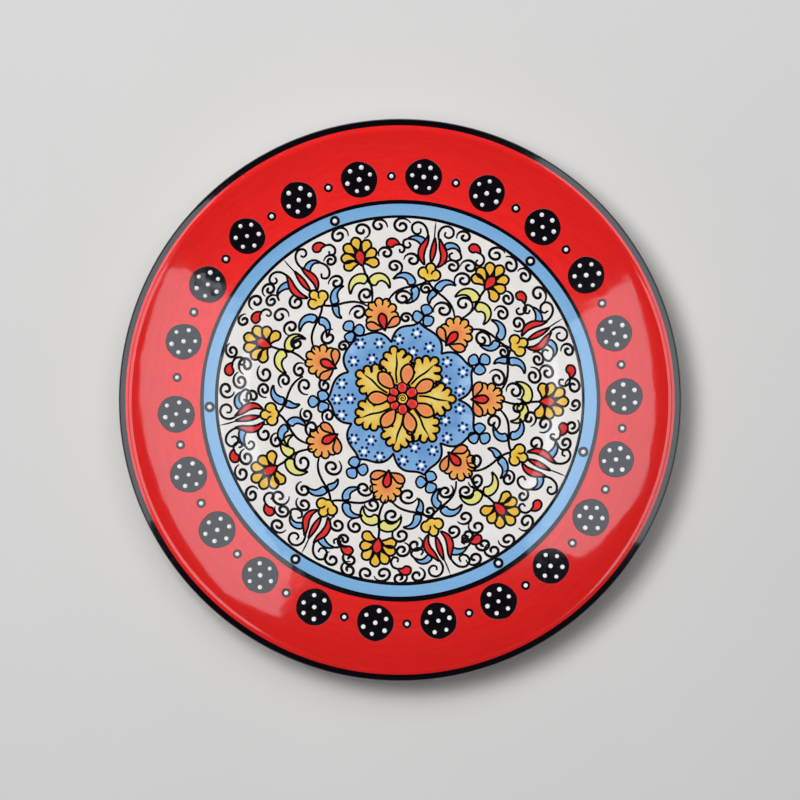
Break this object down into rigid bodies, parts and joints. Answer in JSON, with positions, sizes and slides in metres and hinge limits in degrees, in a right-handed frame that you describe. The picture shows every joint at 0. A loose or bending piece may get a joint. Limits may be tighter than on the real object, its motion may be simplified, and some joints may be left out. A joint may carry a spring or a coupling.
{
  "type": "hand painted ceramic plate",
  "caption": "Round shallow wall plate of glazed earthenware on a foot ring, with a flared lip, raised trailed lines and beads, and a painted floral field.",
  "frame": {"origin": "on the plate's axis, in the plane that the foot ring stands on", "axes": "+Z is the plate's axis, out of the painted face; +Y is up when the plate hangs, between the two hanging holes; +X is to the right seen from the front"},
  "size_m": [0.3, 0.3, 0.0314],
  "materials": {
    "clay": "bare fired earthenware, matt and slightly gritty",
    "clear_glaze": "clear glossy glaze over off-white slip",
    "white_ground": "glossy white ground, faintly warm and grainy",
    "black_enamel": "glossy black enamel, trailed or brushed",
    "blue_enamel": "glossy light blue glaze, brushed in long strokes",
    "red_enamel": "deep glossy coral red glaze",
    "white_enamel": "raised glossy white enamel beads"
  },
  "bodies": {
    "root": {"plate_body": "clay", "recess_glaze": "clear_glaze", "back_glaze": "clear_glaze", "white_ground": "white_ground", "inner_contour": "black_enamel", "blue_band": "blue_enamel", "outer_contour": "black_enamel", "rim_enamel": "red_enamel", "lip_band": "black_enamel", "medallion": "blue_enamel", "rim_spot_01": "black_enamel", "rim_bead_01": "white_enamel", "rim_spot_02": "black_enamel", "rim_bead_02": "white_enamel", "rim_spot_03": "black_enamel", "rim_bead_03": "white_enamel", "rim_spot_04": "black_enamel", "rim_bead_04": "white_enamel", "rim_spot_05": "black_enamel", "rim_bead_05": "white_enamel", "rim_spot_06": "black_enamel", "rim_bead_06": "white_enamel", "rim_spot_07": "black_enamel", "rim_bead_07": "white_enamel", "rim_spot_08": "black_enamel", "rim_bead_08": "white_enamel", "rim_spot_09": "black_enamel", "rim_bead_09": "white_enamel", "rim_spot_10": "black_enamel", "rim_bead_10": "white_enamel", "rim_spot_11": "black_enamel", "rim_bead_11": "white_enamel", "rim_spot_12": "black_enamel", "rim_bead_12": "white_enamel", "rim_spot_13": "black_enamel", "rim_bead_13": "white_enamel", "rim_spot_14": "black_enamel", "rim_bead_14": "white_enamel", "rim_spot_15": "black_enamel", "rim_bead_15": "white_enamel", "rim_spot_16": "black_enamel", "rim_bead_16": "white_enamel", "rim_spot_17": "black_enamel", "rim_bead_17": "white_enamel", "rim_spot_18": "black_enamel", "rim_bead_18": "white_enamel", "rim_spot_19": "black_enamel", "rim_bead_19": "white_enamel", "rim_spot_20": "black_enamel", "rim_bead_20": "white_enamel", "rim_spot_21": "black_enamel", "rim_bead_21": "white_enamel", "rim_spot_22": "black_enamel", "rim_bead_22": "white_enamel", "band_bead_01": "white_enamel", "band_bead_02": "white_enamel", "band_bead_03": "white_enamel", "band_bead_04": "white_enamel", "band_bead_05": "white_enamel", "band_bead_06": "white_enamel"}
  },
  "joints": []
}
